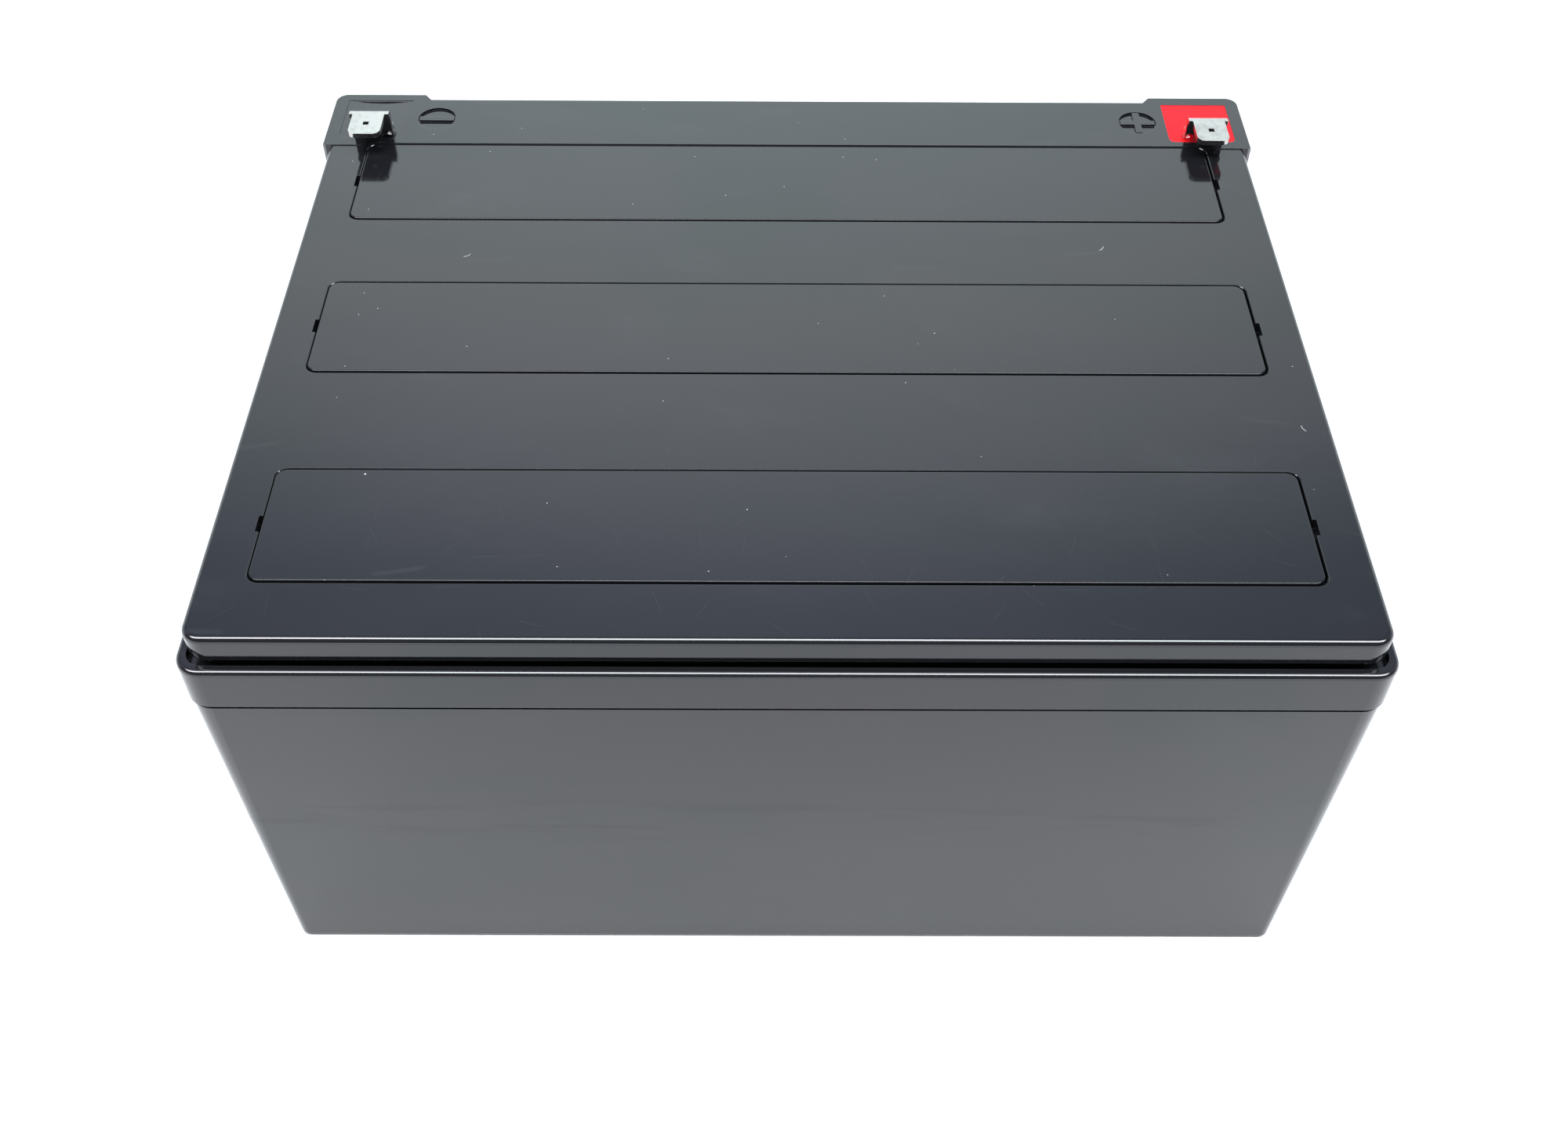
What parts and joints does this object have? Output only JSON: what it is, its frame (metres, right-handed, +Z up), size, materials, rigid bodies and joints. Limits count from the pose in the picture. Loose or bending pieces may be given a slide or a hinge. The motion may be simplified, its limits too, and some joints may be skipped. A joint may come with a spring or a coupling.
{
  "type": "motorcycle battery",
  "caption": "Sealed lead-acid motorcycle battery: drafted black case, potted lid with vent covers over rubber valve caps, spade tabs in resin wells at the rear corners.",
  "frame": {"origin": "middle of the footprint, on the plane that the battery stands on", "axes": "+X towards the positive terminal's side, +Y towards the terminals at the back, +Z up"},
  "size_m": [0.151, 0.1204, 0.0754],
  "materials": {
    "case_black": "glossy moulded black ABS",
    "cover_black": "glossy moulded black ABS",
    "valve_rubber": "matt moulded rubber",
    "tinned_tab": "tin-plated brass, lightly scuffed",
    "resin_black": "glossy poured black epoxy",
    "resin_red": "glossy poured red epoxy",
    "sealant": "dull black epoxy bead",
    "positive_plate": "brown pasted plate",
    "negative_plate": "grey pasted plate",
    "glass_mat": "white glass fibre mat",
    "lead": "dull cast lead"
  },
  "bodies": {
    "case": {"container": "case_black", "lid": "case_black", "lid_sealant": "sealant", "negative_tab": "tinned_tab", "positive_tab": "tinned_tab", "negative_resin": "resin_black", "positive_resin": "resin_red", "positive_plates_1": "positive_plate", "positive_plates_2": "positive_plate", "positive_plates_3": "positive_plate", "positive_plates_4": "positive_plate", "positive_plates_5": "positive_plate", "positive_plates_6": "positive_plate", "negative_plates_1": "negative_plate", "negative_plates_2": "negative_plate", "negative_plates_3": "negative_plate", "negative_plates_4": "negative_plate", "negative_plates_5": "negative_plate", "negative_plates_6": "negative_plate", "separators_1": "glass_mat", "separators_2": "glass_mat", "separators_3": "glass_mat", "separators_4": "glass_mat", "separators_5": "glass_mat", "separators_6": "glass_mat", "intercell_connector_1": "lead", "intercell_connector_2": "lead", "intercell_connector_3": "lead", "intercell_connector_4": "lead", "intercell_connector_5": "lead", "negative_end_strap": "lead", "positive_end_strap": "lead", "negative_post_seal": "valve_rubber", "positive_post_seal": "valve_rubber"},
    "rear_cover": {"vent_cover_rear": "cover_black"},
    "middle_cover": {"vent_cover_middle": "cover_black"},
    "front_cover": {"vent_cover_front": "cover_black"},
    "valve_1": {"valve_cap_1": "valve_rubber"},
    "valve_2": {"valve_cap_2": "valve_rubber"},
    "valve_3": {"valve_cap_3": "valve_rubber"},
    "valve_4": {"valve_cap_4": "valve_rubber"},
    "valve_5": {"valve_cap_5": "valve_rubber"},
    "valve_6": {"valve_cap_6": "valve_rubber"}
  },
  "joints": [
    {"name": "rear_cover_tilt", "type": "hinge", "parent": "case", "child": "rear_cover", "pos_m": [0, 0.04522, 0.0709], "axis": [-1, 0, 0], "range_deg": [0, 25]},
    {"name": "middle_cover_lift", "type": "slide", "parent": "case", "child": "middle_cover", "axis": [0, 0, 1], "range_m": [0, 0.015]},
    {"name": "front_cover_lift", "type": "slide", "parent": "case", "child": "front_cover", "axis": [0, 0, 1], "range_m": [0, 0.015]},
    {"name": "valve_1_vent", "type": "slide", "parent": "case", "child": "valve_1", "axis": [0, 0, 1], "range_m": [0, 0.0004]},
    {"name": "valve_2_vent", "type": "slide", "parent": "case", "child": "valve_2", "axis": [0, 0, 1], "range_m": [0, 0.0004]},
    {"name": "valve_3_vent", "type": "slide", "parent": "case", "child": "valve_3", "axis": [0, 0, 1], "range_m": [0, 0.0004]},
    {"name": "valve_4_vent", "type": "slide", "parent": "case", "child": "valve_4", "axis": [0, 0, 1], "range_m": [0, 0.0004]},
    {"name": "valve_5_vent", "type": "slide", "parent": "case", "child": "valve_5", "axis": [0, 0, 1], "range_m": [0, 0.0004]},
    {"name": "valve_6_vent", "type": "slide", "parent": "case", "child": "valve_6", "axis": [0, 0, 1], "range_m": [0, 0.0004]}
  ]
}
